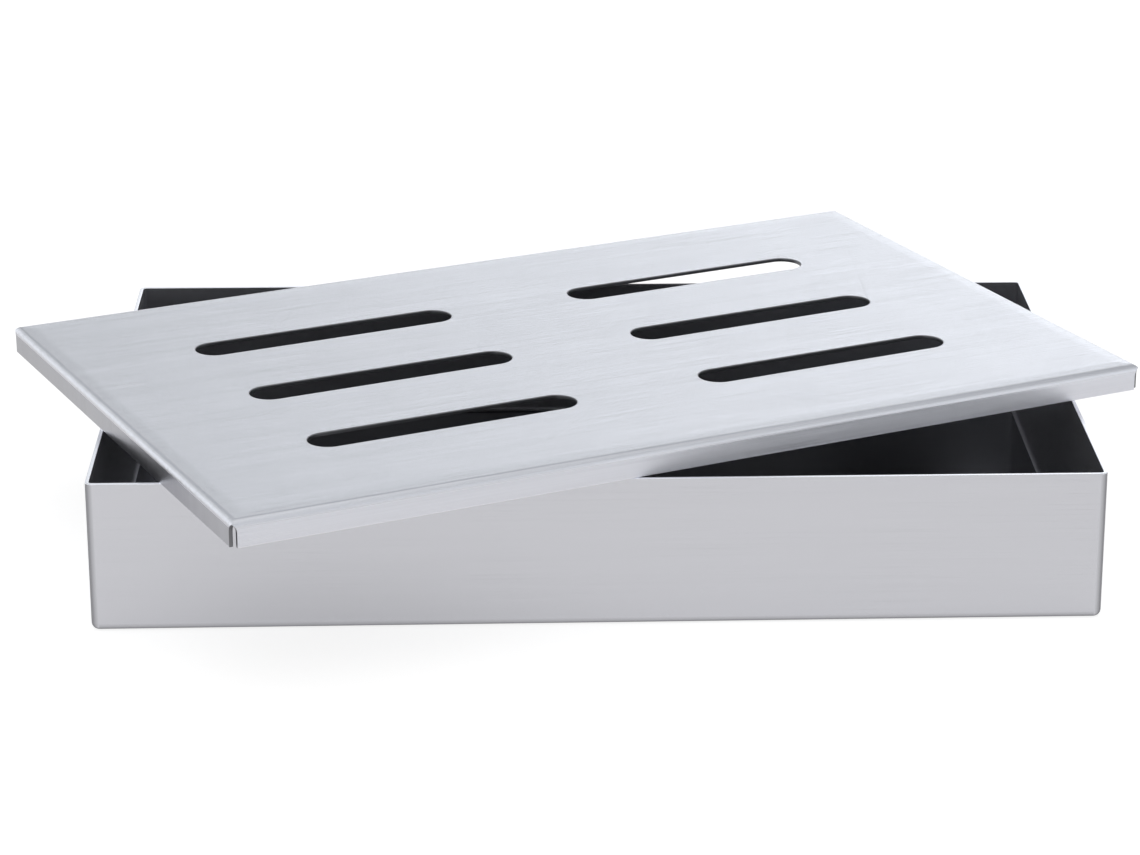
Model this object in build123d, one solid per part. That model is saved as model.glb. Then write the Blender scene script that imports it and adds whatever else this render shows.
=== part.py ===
from build123d import *
import math
import os

# Smoker box of folded stainless sheet: a shallow tray and a slotted lid laid askew on its rim.
# Millimetres. The origin is the centre of the tray's underside, +X along its length, +Y to its back, +Z up.

# Sheet
sheet = 0.8
edge_round = 0.15

# Tray, outside sizes
tray_length = 207.5
tray_width = 130.0
tray_height = 32.0
tray_bend_inside = 0.8
tray_corner_inside = 0.8

# Lid, which drops over the tray's rim when it is closed
lid_clearance = 0.45
lid_height = 5.7
lid_bend_inside = 0.8

# Open corners of the lid, where a notch in the blank with an arched end leaves a slit between two flanges
notch_reach = 1.25
notch_arch_radius = 2.2
notch_depth_from_top = 0.6

# Slots in the lid
slot_length = 60.0
slot_width = 8.8
slot_columns = 2
slot_rows = 3
slot_column_spacing = 90.0
slot_row_spacing = 32.0

# How the lid lies on the rim: turned on its centre, which is moved off the tray's centre
lid_turn = 24.7
lid_centre_x = -4.3
lid_centre_y = 3.0

# Worked out from the sizes above
lid_length = tray_length + 2 * (lid_clearance + sheet)
lid_width = tray_width + 2 * (lid_clearance + sheet)
seam_reach = sheet + max(tray_bend_inside, tray_corner_inside)


def block(length, width, height):
    """A block that stands on the plane z = 0, centred on the origin."""
    return Box(length, width, height, align=(Align.CENTER, Align.CENTER, Align.MIN))


def rounded_block(length, width, height, corner_radius, bottom_radius):
    """A block with its upright edges and then its bottom edges rounded."""
    body = block(length, width, height)
    if corner_radius > 0:
        body = fillet(body.edges().filter_by(Axis.Z), corner_radius)
    bottom = body.edges().group_by(Axis.Z)[0]
    return fillet(bottom, bottom_radius)


def folded_pan(length, width, height, bend_inside, corner_inside):
    """A base with four walls of even sheet, open at the top. No corner radius means mitred corners."""
    corner_outside = corner_inside + sheet if corner_inside else 0
    outside = rounded_block(length, width, height, corner_outside, bend_inside + sheet)
    hollow = rounded_block(length - 2 * sheet, width - 2 * sheet, height, corner_inside, bend_inside)
    return outside - Pos(0, 0, sheet) * hollow


def break_rim(pan, height):
    """Rounds off the sheared edge round the pan's opening."""
    rim = pan.edges().filter_by(lambda edge: abs(edge.center().Z - height) < edge_round / 2)
    return fillet(rim, edge_round)


def tray_shell():
    """The tray's sheet as if the corner seams were one with it."""
    pan = folded_pan(tray_length, tray_width, tray_height, tray_bend_inside, tray_corner_inside)
    return break_rim(pan, tray_height)


def seam_columns():
    """Upright blocks over the tray's four corners, each as wide as its welded seam."""
    spots = GridLocations(tray_length - seam_reach, tray_width - seam_reach, 2, 2)
    return [spot * block(seam_reach, seam_reach, tray_height) for spot in spots]


def tray_pan():
    """The folded blank: the base and the four walls, notched where the corner seams close it."""
    return tray_shell() - seam_columns()


def tray_corner_seams():
    """The four ground weld seams, from the rim down round the bottom corners."""
    shell = tray_shell()
    return Compound(children=[seam for column in seam_columns() for seam in (shell & column).solids()])


def slot_cutter(place):
    """A round-ended slot through the top of the upturned lid, which lies on the plane z = 0."""
    return extrude(place * SlotOverall(slot_length, slot_width), sheet)


def notch_profile():
    """One side of a corner notch, seen square on: x is in from the corner, y is down from the lid's top.

    The arch is upright where the notch is widest, and leans in until it meets its mirror image at the corner.
    """
    arch_middle = notch_reach - notch_arch_radius
    arch_turn = math.acos(-arch_middle / notch_arch_radius)
    arch_end = notch_depth_from_top + notch_arch_radius * math.sin(arch_turn)
    outline = Polyline((0, notch_depth_from_top), (-sheet, notch_depth_from_top), (-sheet, lid_height + sheet),
                       (notch_reach, lid_height + sheet), (notch_reach, arch_end))
    arch = CenterArc((arch_middle, arch_end), notch_arch_radius, 0, -math.degrees(arch_turn))
    return make_face([*outline.edges(), arch.edge()])


def corner_notch():
    """The notch at the upturned lid's corner of least x and y: the same profile cut from both sides."""
    across_front = Plane(origin=(0, -sheet, 0), x_dir=(1, 0, 0), z_dir=(0, -1, 0))
    across_side = Plane(origin=(-sheet, 0, 0), x_dir=(0, 1, 0), z_dir=(1, 0, 0))
    reach = notch_reach + 2 * sheet
    front = extrude(across_front * notch_profile(), -reach)
    side = extrude(across_side * notch_profile(), reach)
    return Pos(-lid_length / 2, -lid_width / 2, 0) * (front & side)


def corner_notches():
    """The notch and its mirror images at the other three corners."""
    near_left = corner_notch()
    near_pair = [near_left, mirror(near_left, Plane.YZ)]
    return near_pair + [mirror(notch, Plane.XZ) for notch in near_pair]


def lid_upturned():
    """The lid upside down: its top on the plane z = 0 and its flanges standing up."""
    pan = folded_pan(lid_length, lid_width, lid_height, lid_bend_inside, 0)
    pan = break_rim(pan, lid_height)
    places = GridLocations(slot_column_spacing, slot_row_spacing, slot_columns, slot_rows)
    return pan - [slot_cutter(place) for place in places] - corner_notches()


def lid():
    """The lid right side up, turned and resting on the tray's rim."""
    right_way_up = Pos(0, 0, lid_height) * Rot(180, 0, 0) * lid_upturned()
    return Pos(lid_centre_x, lid_centre_y, tray_height) * Rot(0, 0, lid_turn) * right_way_up


os.makedirs("parts", exist_ok=True)
for piece in (tray_pan, tray_corner_seams, lid):
    export_step(piece(), f"parts/{piece.__name__}.step")
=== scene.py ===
import math

import bmesh
import bpy
from mathutils import Matrix, Vector


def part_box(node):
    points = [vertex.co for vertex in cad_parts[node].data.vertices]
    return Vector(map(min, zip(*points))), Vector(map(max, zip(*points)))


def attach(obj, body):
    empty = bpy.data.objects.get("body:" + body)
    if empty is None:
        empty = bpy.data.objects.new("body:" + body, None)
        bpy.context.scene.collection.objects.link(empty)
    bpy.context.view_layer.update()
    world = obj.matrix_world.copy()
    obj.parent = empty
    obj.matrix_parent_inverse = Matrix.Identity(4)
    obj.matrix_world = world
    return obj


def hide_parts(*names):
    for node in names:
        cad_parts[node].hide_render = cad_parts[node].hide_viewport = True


# Smoker box of folded stainless sheet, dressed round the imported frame.
# Sizes are in millimetres up to the meshes, which are in metres.

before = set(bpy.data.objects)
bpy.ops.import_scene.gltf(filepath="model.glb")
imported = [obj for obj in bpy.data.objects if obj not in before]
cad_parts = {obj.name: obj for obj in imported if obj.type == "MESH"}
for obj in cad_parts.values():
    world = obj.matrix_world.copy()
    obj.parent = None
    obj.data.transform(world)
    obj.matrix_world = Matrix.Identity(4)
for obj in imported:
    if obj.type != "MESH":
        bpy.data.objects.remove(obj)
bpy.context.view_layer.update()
MM = 0.001

# Sheet
sheet = 0.8
bend_inside = 0.8
bend_outside = bend_inside + sheet
fold_run = math.pi / 2 * bend_outside
edge_round = 0.15

# Tray, from the frame
tray_low, tray_high = (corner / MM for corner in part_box("tray_pan"))
tray_length = tray_high.x - tray_low.x
tray_width = tray_high.y - tray_low.y
tray_height = tray_high.z - tray_low.z

# Lid: its middle and height from the frame, and how it is turned on the rim
lid_low, lid_high = (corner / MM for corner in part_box("lid"))
lid_middle = (lid_low + lid_high) / 2
lid_height = lid_high.z - lid_low.z
lid_turn = math.radians(24.7)
lid_clearance = 0.45
lid_length = tray_length + 2 * (lid_clearance + sheet)
lid_width = tray_width + 2 * (lid_clearance + sheet)
notch_reach = 1.25
notch_arch_radius = 2.2
notch_depth = 0.6

# Slots in the lid, and how far their upper edges are rounded
slot_length = 60.0
slot_width = 8.8
slot_column_spacing = 90.0
slot_row_spacing = 32.0
slot_edge_round = 0.2

# How softly the lid's folds run out into its flat top and its flanges: drawn in this deep, and as far as this
sag_depth = 0.2
sag_width = 3.0

# How finely the rounds are stepped, when corners are one and the same, and where a bend starts to be an edge
bend_steps = 14
edge_steps = 4
slot_steps = 24
same_corner = 1e-4
no_edge = 1e-5
sharp_angle = math.radians(30)

# Which finish a face of the sheet takes
OUTSIDE, BENDS, SIDES, ENDS, INSIDE, WALLS_INSIDE, RIM, PUNCHED = range(8)

# Steel: its tint, and the noises of its finish, in grains to a metre. The coarse grains are so many times larger
steel_tint = (1.0, 1.0, 1.055)
coarser_along = 4
coarser_across = 5
patches_along = 14.0
patches_across = 22.0
grooves_across = 20000.0

# How much of the steel's tone is grain and not patches, and how much of the grain is fine
grain_share = 0.65
fine_share = 0.6

# Floor: its size in metres, its paint, and how much it glows besides for the eye and for the steel's mirror
floor_half = 4.0
floor_cells = 8
floor_paint = 0.40
floor_paint_spread = 0.01
floor_patches = 6.0
floor_glow = 0.765
floor_mirrored = 0.47

# Studio: the light on the floor, and the light that the steel mirrors
fill_light = 0.75
studio_light = 1.58
studio_tint = (0.965, 1.0, 1.03)

# Brightness of the studio's walls at each heading in degrees, clockwise from the back as seen from above
wall_lights = (
    (-180, 0.07), (-177, 0.10), (-172, 0.85), (-160, 1.00), (-140, 0.70), (-90, 0.80), (-40, 0.75), (-16, 0.34),
    (-5, 0.66), (14, 1.05), (26, 0.72), (41, 0.61), (57, 0.73), (90, 0.74), (123, 0.71), (139, 0.57), (165, 0.09),
    (180, 0.07),
)

# Brightness of its ceiling at each angle in degrees, up from the back and over to the front
ceiling_lights = (
    (35, 0.34), (62, 0.33), (78, 0.30), (100, 0.36), (114, 0.43), (124, 0.54), (145, 0.38), (157, 0.10),
)

# How far the walls have given way to the ceiling where a direction rises this steeply, 1 being straight up
ceiling_shares = ((0.35, 0.0), (0.41, 0.5), (0.52, 1.0))

# Overhead lamp, in metres
lamp_place = (0.0, -0.1, 1.3)
lamp_aim = (0.0, 0.0, 0.0)
lamp_size = 1.2
lamp_radiance = 0.5

# Camera, fitted to the photograph: its focal length in the photograph's pixels, its place in millimetres, and the
# directions ahead of it and to its right
image_width = 1140
focal_pixels = 3634.9
sensor_width = 36.0
camera_shift = -0.15
camera_place = (-21.66, -753.49, 293.05)
camera_ahead = (0.06793, 0.93768, -0.34081)
camera_right = (0.99764, -0.06713, 0.01416)
camera_nearest = 0.01
camera_farthest = 100.0


class Shade:
    """A value in a finish. Sums with numbers and other values add the Math nodes."""

    def __init__(self, finish, socket):
        self.finish = finish
        self.socket = socket

    def math(self, operation, *values):
        return self.finish.node("Math", {"operation": operation}, dict(enumerate(values)))

    def size(self):
        """The value without its sign."""
        return self.math("ABSOLUTE", self)

    def __add__(self, other):
        return self.math("ADD", self, other)

    def __sub__(self, other):
        return self.math("SUBTRACT", self, other)

    def __rsub__(self, other):
        return self.math("SUBTRACT", other, self)

    def __mul__(self, other):
        return self.math("MULTIPLY", self, other)

    __radd__ = __add__
    __rmul__ = __mul__


class Finish:
    """The node tree of a material or the world, and one method that adds any node to it."""

    def __init__(self, owner):
        owner.use_nodes = True
        self.tree = owner.node_tree
        self.tree.nodes.clear()

    def node(self, kind, settings=None, sockets=None, output=0):
        """Adds a node, makes its settings, then sets or links its sockets. Returns one of its outputs."""
        made = self.tree.nodes.new("ShaderNode" + kind)
        for name, value in (settings or {}).items():
            if name == "stops":
                self.set_stops(made.color_ramp, value)
            else:
                setattr(made, name, value)
        for name, value in (sockets or {}).items():
            if isinstance(value, Shade):
                self.tree.links.new(value.socket, made.inputs[name])
            else:
                made.inputs[name].default_value = value
        return Shade(self, made.outputs[output]) if made.outputs else None

    @staticmethod
    def set_stops(ramp, stops):
        """Gives a ramp its stops, each a position and a colour."""
        while len(ramp.elements) < len(stops):
            ramp.elements.new(1.0)
        for element, (position, colour) in zip(ramp.elements, stops):
            element.position = position
            element.color = colour

    def tint(self, factor, low, high):
        """A colour between low and high."""
        return self.node("Mix", {"data_type": "RGBA"}, {0: factor, 6: low, 7: high}, output=2)

    def noise(self, place, along, across, detail=2.0):
        """Flat noise over place, with so many grains a metre along and across the brushing."""
        stretched = self.node("VectorMath", {"operation": "MULTIPLY"}, {0: place, 1: (along, across, 1.0)})
        return self.node("TexNoise", {"noise_dimensions": "2D"}, {"Vector": stretched, "Scale": 1.0, "Detail": detail})


def grey(level, tint=(1.0, 1.0, 1.0)):
    """A linear grey of that level, tinted."""
    return (*(level * share for share in tint), 1.0)


def past_fold(finish, blank, length, width):
    """How far past the nearest fold's start a place on the blank of a folded pan lies, in metres."""
    along, across = (finish.node("SeparateXYZ", None, {0: blank}, output=axis) for axis in "XY")
    past_end = along.size() - (length / 2 - bend_outside) * MM
    past_side = across.size() - (width / 2 - bend_outside) * MM
    return past_end.math("MAXIMUM", past_end, past_side)


def lid_sag(finish, blank):
    """How far the lid's sheet is drawn in round its folds: 1 in the middle of a fold, 0 well away from it."""
    past_middle = past_fold(finish, blank, lid_length, lid_width) - fold_run / 2 * MM
    return finish.node("MapRange", {"interpolation_type": "SMOOTHSTEP"}, {
        "Value": past_middle.size(),
        "From Min": (sag_width + fold_run / 2) * MM,
        "From Max": 0.0,
    })


def foot_shade(finish, blank):
    """How much painted shade darkens the tray's folds: 1 where they meet the base, 0 where the wall begins."""
    return 1 - past_fold(finish, blank, tray_length, tray_width) * (1 / (fold_run * MM))


def seam_shade(finish, blank):
    """How much painted shade darkens a ground seam: 1 along its middle, 0 at its edges."""
    round_corner = finish.node("SeparateXYZ", None, {0: blank}, output="Y") * (2 / (fold_run * MM))
    return 1 - (round_corner - 1).size()


def steel(name, level, spread, rough, rough_spread, relief, along=25.0, across=3200.0,
          edge_on=1.0, shade=None, shade_share=0.0, sag=None):
    """Stainless steel brushed along the blank's length. Level is its middle grey and spread how far its tones differ.

    Rough is its middle roughness. Relief is the depth of the brush's grooves, in millimetres: they are too fine
    to be seen, and smear what the steel mirrors across the brushing. Along and across are its fine grains to a
    metre. Edge_on is how much of its brightness is left where it is seen edge on. Shade gives where painted shade
    darkens it, by up to shade_share. Sag gives where it is drawn in, by up to sag_depth.
    """
    dark = grey(level - spread, steel_tint)
    light = grey(level + spread, steel_tint)
    material = bpy.data.materials.new(name)
    finish = Finish(material)
    blank = finish.node("UVMap", {"uv_map": "blank"})
    fine = finish.noise(blank, along, across)
    coarse = finish.noise(blank, along / coarser_along, across / coarser_across)
    patches = finish.noise(blank, patches_along, patches_across, detail=3.0)
    grain = fine * fine_share + coarse * (1 - fine_share)
    tone = grain * grain_share + patches * (1 - grain_share)
    colour = finish.tint(tone, dark, light)
    if shade:
        colour = finish.tint(shade(finish, blank) * shade_share, colour, grey(0.0))
    height = finish.noise(blank, along, grooves_across, detail=0.0)
    if sag:
        height = height - sag(finish, blank) * (sag_depth / relief)
    bump = finish.node("Bump", None, {"Strength": 1.0, "Distance": relief * MM, "Height": height})
    shader = finish.node("BsdfPrincipled", None, {
        "Base Color": colour,
        "Metallic": 1.0,
        "Specular Tint": grey(edge_on),
        "Roughness": rough + rough_spread * (tone - 0.5),
        "Normal": bump,
    })
    finish.node("OutputMaterial", None, {"Surface": shader})
    return material


def quarter(steps):
    """The angles of a quarter turn, both ends included."""
    return [math.pi / 2 * step / steps for step in range(steps + 1)]


def new_object(name, data):
    """An object in the scene that shows the data."""
    made = bpy.data.objects.new(name, data)
    bpy.context.scene.collection.objects.link(made)
    return made


class Sheet:
    """Faces of folded sheet, each corner with its place on the flat blank. Millimetres."""

    def __init__(self):
        self.shape = bmesh.new()
        self.blank = self.shape.loops.layers.uv.new("blank")

    def face(self, corners, finish):
        """Adds a face from (point, place on the blank) corners."""
        made = self.shape.faces.new([self.shape.verts.new(point) for point, _ in corners])
        made.material_index = finish
        made.smooth = True
        for loop, (_, place) in zip(made.loops, corners):
            loop[self.blank].uv = Vector(place) * MM

    def patch(self, rows, finishes):
        """Adds the faces between rows of corners, with one finish for each step from row to row."""
        for row, following, finish in zip(rows, rows[1:], finishes):
            for step in range(len(row) - 1):
                self.face([row[step], row[step + 1], following[step + 1], following[step]], finish)

    def sheared_ends(self, rows):
        """Closes the two ends of a wall or a seam, which the rows of corners end on."""
        self.face([row[0] for row in rows], RIM)
        self.face([row[-1] for row in rows], RIM)

    def piece(self, name, finishes, place=Matrix()):
        """The closed sheet as an object with those finishes, its faces turned outwards."""
        bmesh.ops.remove_doubles(self.shape, verts=self.shape.verts[:], dist=same_corner)
        bmesh.ops.dissolve_degenerate(self.shape, edges=self.shape.edges[:], dist=no_edge)
        bmesh.ops.recalc_face_normals(self.shape, faces=self.shape.faces[:])
        self.shape.transform(Matrix.Scale(MM, 4) @ place)
        mesh = bpy.data.meshes.new(name)
        for finish in finishes:
            mesh.materials.append(finish)
        self.shape.to_mesh(mesh)
        self.shape.free()
        return new_object(name, mesh)


def with_runs(points):
    """Adds to each (inset, depth) how far along the line it lies."""
    run = 0.0
    measured = [(*points[0], run)]
    for before, after in zip(points, points[1:]):
        run += math.dist(before, after)
        measured.append((*after, run))
    return measured


def folded_skin(height, bend_radius, face_inset):
    """One skin of a folded edge, from the base to the middle of the rim, as (inset, depth, run along the blank).

    Bend_radius is the bend's radius on this skin, and face_inset how far the skin of the wall is set in.
    """
    bend = [(bend_outside - bend_radius * math.sin(turn), bend_outside - bend_radius * math.cos(turn))
            for turn in quarter(bend_steps)]
    toward_rim = 1 if face_inset == 0 else -1
    rim = [(face_inset + toward_rim * edge_round * (1 - math.cos(turn)), height - edge_round * (1 - math.sin(turn)))
           for turn in quarter(edge_steps)]
    return with_runs(bend + rim)


def folded_edge(height):
    """The section of a folded edge, from the base's outer skin round the rim to its inner skin, and its finishes."""
    outer = folded_skin(height, bend_outside, 0.0)
    inner = folded_skin(height, bend_inside, sheet)
    skin_steps = bend_steps + 1
    skins = [BENDS] * skin_steps + [RIM] * (2 * edge_steps + 1) + [WALLS_INSIDE] * skin_steps
    return outer + inner[::-1], skins


def pan(shape, length, width, height, mitred):
    """A base with four walls folded up from it. Its walls meet in a mitre, or stop short of the corner's round."""
    section, skins = folded_edge(height)
    half = Vector((length / 2, width / 2))
    for out in (Vector((0, -1)), Vector((1, 0)), Vector((0, 1)), Vector((-1, 0))):
        along = Vector((-out.y, out.x))
        out_half = abs(half.dot(out))
        along_half = abs(half.dot(along))
        rows = []
        for inset, depth, run in section:
            reach = along_half - (min(inset, bend_outside) if mitred else bend_outside)
            rows.append([((*(out * (out_half - inset) + along * side), depth),
                          out * (out_half - bend_outside + run) + along * side) for side in (-reach, reach)])
        wall = [ENDS] if out.x else [SIDES]
        shape.patch(rows, skins[:bend_steps] + wall + skins[bend_steps + 1:])
        if not mitred:
            shape.sheared_ends(rows)
    flat = half - Vector((bend_outside, bend_outside))
    for depth, finish in ((0.0, OUTSIDE), (sheet, INSIDE)):
        corners = [(-flat.x, -flat.y), (flat.x, -flat.y), (flat.x, flat.y), (-flat.x, flat.y)]
        shape.face([((*corner, depth), corner) for corner in corners], finish)


def tray_pan(finishes):
    """The tray's folded blank, open along its four corners."""
    shape = Sheet()
    pan(shape, tray_length, tray_width, tray_height, mitred=False)
    return shape.piece("tray_sheet", finishes)


def tray_corner_seams(finishes):
    """The ground seams that close the tray's corners, each a quarter round from the rim to the ball at its foot."""
    shape = Sheet()
    section, skins = folded_edge(tray_height)
    for side_x in (-1, 1):
        for side_y in (-1, 1):
            middle = Vector((side_x * (tray_length / 2 - bend_outside), side_y * (tray_width / 2 - bend_outside)))
            rows = []
            for inset, depth, run in section:
                row = []
                for turn in quarter(bend_steps):
                    spoke = Vector((side_x * math.cos(turn), side_y * math.sin(turn)))
                    point = middle + spoke * (bend_outside - inset)
                    row.append(((*point, depth), (run, turn * bend_outside)))
                rows.append(row)
            shape.patch(rows, skins)
            shape.sheared_ends(rows)
    return shape.piece("tray_weld_seams", finishes)


def punch(shape, rows):
    """Adds a closed punch whose outline changes from row to row. Each row is a ring of points at one depth."""
    rings = [[(point, point[:2]) for point in row] for row in rows]
    shape.patch([ring + ring[:1] for ring in rings], [PUNCHED] * (len(rings) - 1))
    shape.face(rings[0], PUNCHED)
    shape.face(rings[-1], PUNCHED)


def slot_punch(shape, middle):
    """Adds the punch for one slot, flared at the lid's top so that it leaves a rounded edge."""
    straight = slot_length / 2 - slot_width / 2
    levels = [(slot_edge_round, -sheet)]
    levels += [(slot_edge_round * (1 - math.sin(turn)), slot_edge_round * (1 - math.cos(turn)))
               for turn in quarter(edge_steps)]
    levels.append((0.0, 2 * sheet))
    rows = []
    for grow, depth in levels:
        row = []
        for end in (1, -1):
            for step in range(slot_steps + 1):
                turn = math.pi * (step / slot_steps - 0.5)
                round_end = Vector((math.cos(turn), math.sin(turn))) * (slot_width / 2 + grow)
                row.append((*(middle + end * (Vector((straight, 0)) + round_end)), depth))
        rows.append(row)
    punch(shape, rows)


def notch_punch(shape, side_x, side_y):
    """Adds the punch for one corner notch: a square column that closes in an arch towards the lid's top."""
    corner = Vector((side_x * lid_length / 2, side_y * lid_width / 2))
    arch_middle = notch_reach - notch_arch_radius
    arch_turn = math.acos(-arch_middle / notch_arch_radius)
    levels = []
    for step in range(bend_steps + 1):
        turn = arch_turn * (1 - step / bend_steps)
        levels.append((arch_middle + notch_arch_radius * math.cos(turn),
                       notch_depth + notch_arch_radius * (math.sin(arch_turn) - math.sin(turn))))
    levels.append((notch_reach, lid_height + sheet))
    rows = []
    for reach, depth in levels:
        inwards = ((-sheet, -sheet), (reach, -sheet), (reach, reach), (-sheet, reach))
        rows.append([(corner.x - side_x * x, corner.y - side_y * y, depth) for x, y in inwards])
    punch(shape, rows)


def punched(blank, punches):
    """The piece with the punches cut out of it."""
    cut = blank.modifiers.new("punch", "BOOLEAN")
    cut.operation = "DIFFERENCE"
    cut.solver = "EXACT"
    cut.object = punches
    whole = blank.evaluated_get(bpy.context.evaluated_depsgraph_get())
    mesh = bpy.data.meshes.new_from_object(whole)
    blank.modifiers.clear()
    blank.data = mesh
    bpy.data.objects.remove(punches)
    return blank


def lid(finishes):
    """The lid, folded and punched upside down, then turned over and laid askew on the tray's rim."""
    shape = Sheet()
    pan(shape, lid_length, lid_width, lid_height, mitred=True)
    punches = Sheet()
    for column in (-0.5, 0.5):
        for row in (-1, 0, 1):
            slot_punch(punches, Vector((column * slot_column_spacing, row * slot_row_spacing)))
    for side_x in (-1, 1):
        for side_y in (-1, 1):
            notch_punch(punches, side_x, side_y)
    laid = Matrix.Translation((lid_middle.x, lid_middle.y, lid_high.z))
    laid = laid @ Matrix.Rotation(lid_turn, 4, "Z") @ Matrix.Rotation(math.pi, 4, "X")
    return punched(shape.piece("lid_sheet", finishes, laid), punches.piece("lid_punches", finishes, laid))


def dress(piece, node, body):
    """Gives a piece flat faces with smooth bends between them, and its place in the frame."""
    piece.data.set_sharp_from_angle(angle=sharp_angle)
    flat = piece.modifiers.new("flat_faces_stay_flat", "WEIGHTED_NORMAL")
    flat.mode = "FACE_AREA"
    flat.keep_sharp = True
    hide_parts(node)
    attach(piece, body)


def pale_floor():
    """A white floor under the tray, which keeps its shadow."""
    material = bpy.data.materials.new("pale_floor")
    finish = Finish(material)
    spread = finish.noise(finish.node("TexCoord", output="Object"), floor_patches, floor_patches)
    paint = finish.tint(spread, grey(floor_paint - floor_paint_spread), grey(floor_paint + floor_paint_spread))
    lit = finish.node("BsdfDiffuse", None, {"Color": paint})
    seen = finish.node("LightPath", output="Is Camera Ray")
    mirrored = finish.node("LightPath", output="Is Glossy Ray")
    strength = floor_glow * seen + floor_mirrored * mirrored
    glow = finish.node("Emission", None, {"Color": grey(1.0), "Strength": strength})
    finish.node("OutputMaterial", None, {"Surface": finish.node("AddShader", None, {0: lit, 1: glow})})
    shape = bmesh.new()
    bmesh.ops.create_grid(shape, x_segments=floor_cells, y_segments=floor_cells, size=floor_half)
    mesh = bpy.data.meshes.new("floor")
    shape.to_mesh(mesh)
    shape.free()
    mesh.materials.append(material)
    made = new_object("floor", mesh)


def studio():
    """White surroundings for the eye, plain light for the floor, and walls with a ceiling for the steel to mirror."""
    world = bpy.data.worlds.new("studio")
    bpy.context.scene.world = world
    finish = Finish(world)
    way = finish.node("TexCoord", output="Generated")
    right, back, up = (finish.node("SeparateXYZ", None, {0: way}, output=axis) for axis in "XYZ")
    heading = right.math("ARCTAN2", right, back) * (0.5 / math.pi) + 0.5
    pitch = up.math("ARCTAN2", up, back) * (1 / math.pi)
    wall_stops = [(degrees / 360 + 0.5, grey(level, studio_tint)) for degrees, level in wall_lights]
    ceiling_stops = [(degrees / 180, grey(level, studio_tint)) for degrees, level in ceiling_lights]
    share_stops = [(rise, grey(share)) for rise, share in ceiling_shares]
    walls = finish.node("ValToRGB", {"stops": wall_stops}, {0: heading})
    ceiling = finish.node("ValToRGB", {"stops": ceiling_stops}, {0: pitch})
    ceiling_share = finish.node("ValToRGB", {"stops": share_stops}, {0: up})
    room = finish.tint(ceiling_share, walls, ceiling)
    mirrored = finish.node("LightPath", output="Is Glossy Ray")
    steel_sees = finish.node("Background", None, {"Color": room, "Strength": studio_light})
    floor_sees = finish.node("Background", None, {"Color": grey(1.0), "Strength": fill_light})
    white = finish.node("Background", None, {"Color": grey(1.0), "Strength": 1.0})
    unseen = finish.node("MixShader", None, {0: mirrored, 1: floor_sees, 2: steel_sees})
    seen = finish.node("LightPath", output="Is Camera Ray")
    finish.node("OutputWorld", None, {"Surface": finish.node("MixShader", None, {0: seen, 1: unseen, 2: white})})


def overhead_lamp():
    """A square soft lamp above the box."""
    lamp = bpy.data.lights.new("overhead", "AREA")
    lamp.shape = "SQUARE"
    lamp.size = lamp_size
    lamp.energy = lamp_radiance * math.pi * lamp_size * lamp_size
    made = new_object("overhead", lamp)
    made.location = lamp_place
    made.rotation_euler = (Vector(lamp_aim) - Vector(lamp_place)).to_track_quat("-Z", "Y").to_euler()


def camera():
    """The photograph's view: from the front, about twenty degrees up, with a long lens."""
    lens = bpy.data.cameras.new("camera")
    lens.sensor_width = sensor_width
    lens.lens = focal_pixels / image_width * sensor_width
    lens.shift_x = camera_shift
    lens.clip_start = camera_nearest
    lens.clip_end = camera_farthest
    made = new_object("camera", lens)
    ahead = Vector(camera_ahead).normalized()
    right = Vector(camera_right)
    right = (right - right.dot(ahead) * ahead).normalized()
    turn = Matrix((right, right.cross(ahead), -ahead)).transposed()
    made.matrix_world = Matrix.Translation(Vector(camera_place) * MM) @ turn.to_4x4()
    bpy.context.scene.camera = made


lid_outside = steel("brushed_lid_steel", level=0.72, spread=0.032, rough=0.26, rough_spread=0.06, relief=0.016,
                    sag=lid_sag)
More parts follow.
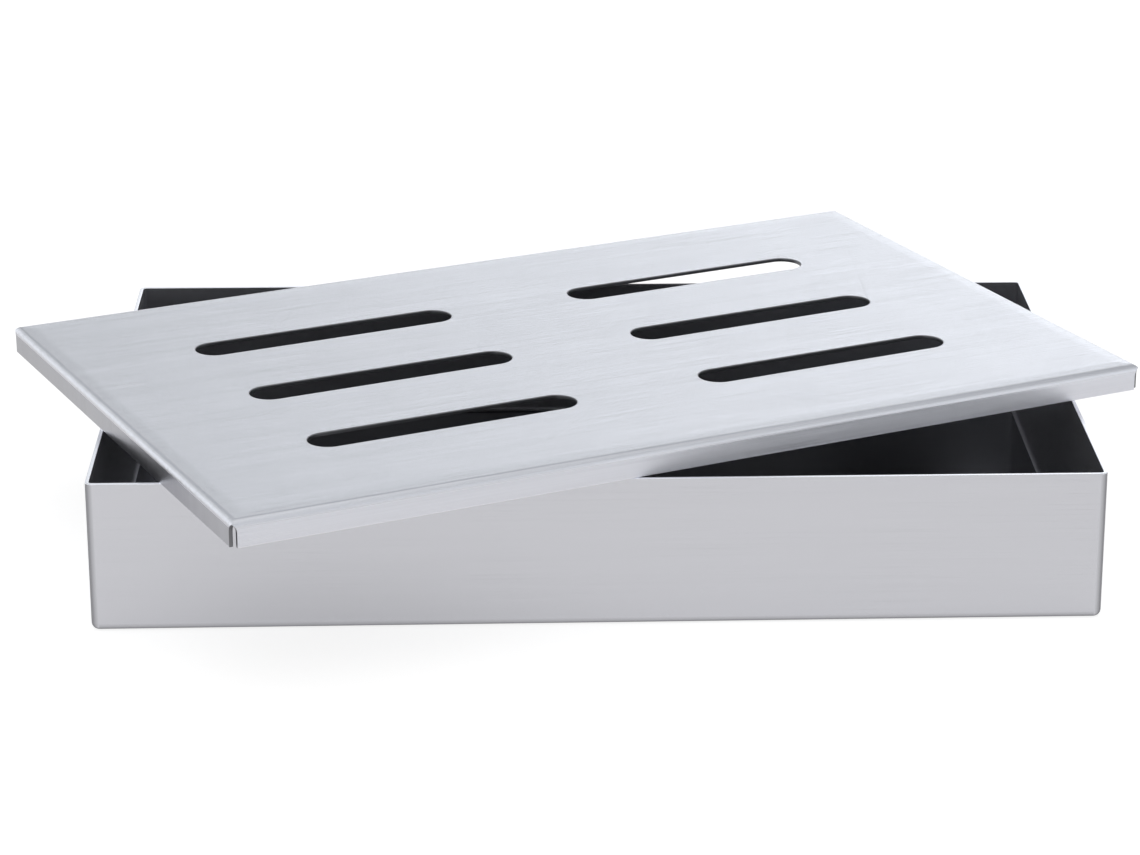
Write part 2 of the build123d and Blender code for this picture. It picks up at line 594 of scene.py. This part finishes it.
# The lid's front and back flanges are painted lighter than its top, and its end flanges darker: painted light and
# painted shade on one sheet
lid_sides = steel("brushed_flange_steel_painted_light", level=0.82, spread=0.06, rough=0.50, rough_spread=0.06, relief=0.034,
                  sag=lid_sag)
lid_ends = steel("cross_brushed_steel_painted_shade", level=0.49, spread=0.10, rough=0.32, rough_spread=0.10, relief=0.008,
                 sag=lid_sag)
tray_outside = steel("brushed_tray_steel", level=0.712, spread=0.03, rough=0.24, rough_spread=0.06, relief=0.010)
# The tray's folds are painted darker towards the base, and their darker edge tint darkens them where seen edge on:
# painted shade
tray_bends = steel("brushed_bend_steel", level=0.712, spread=0.03, rough=0.24, rough_spread=0.06, relief=0.010,
                   edge_on=0.5, shade=foot_shade, shade_share=0.65)
# Inside the box the steel is painted darker than outside, darkest on the tray's floor and the lid's underside: painted
# shade, on a mill finish with roughness of its own
shaded_inside = steel("mill_steel_inside_painted_shade", level=0.17, spread=0.03, rough=0.11, rough_spread=0.03, relief=0.003)
walls_inside = steel("mill_steel_walls_painted_shade", level=0.52, spread=0.03, rough=0.34, rough_spread=0.03, relief=0.003)
# The rims and cut ends are painted near white: a painted highlight
sheared_rim_painted_highlight = steel("sheared_rim_painted_highlight", level=0.96, spread=0.03, rough=0.22, rough_spread=0.08, relief=0.003)
# The punched edges of the slots and notches are painted dark: painted shade
shaded_punched_edge = steel("shaded_punched_edge", level=0.20, spread=0.05, rough=0.35, rough_spread=0.10, relief=0.003)
# The seams are painted darker along the middle of their round, and their darker edge tint darkens them where seen edge
# on: painted shade
ground_seam = steel("ground_weld_seam", level=0.712, spread=0.04, rough=0.24, rough_spread=0.08, relief=0.010,
                    along=60.0, edge_on=0.4, shade=seam_shade, shade_share=0.5)

# One finish for each kind of face, in their order
pan_finishes = (tray_outside, tray_bends, tray_outside, tray_outside, shaded_inside, walls_inside, sheared_rim_painted_highlight)
seam_finishes = (ground_seam, ground_seam, ground_seam, ground_seam, shaded_inside, walls_inside, sheared_rim_painted_highlight)
lid_finishes = (lid_outside, lid_outside, lid_sides, lid_ends, shaded_inside, shaded_inside, sheared_rim_painted_highlight, shaded_punched_edge)
dress(tray_pan(pan_finishes), "tray_pan", "tray")
dress(tray_corner_seams(seam_finishes), "tray_corner_seams", "tray")
dress(lid(lid_finishes), "lid", "lid")

pale_floor()
studio()
overhead_lamp()
camera()

bpy.context.scene.view_settings.view_transform = "Standard"
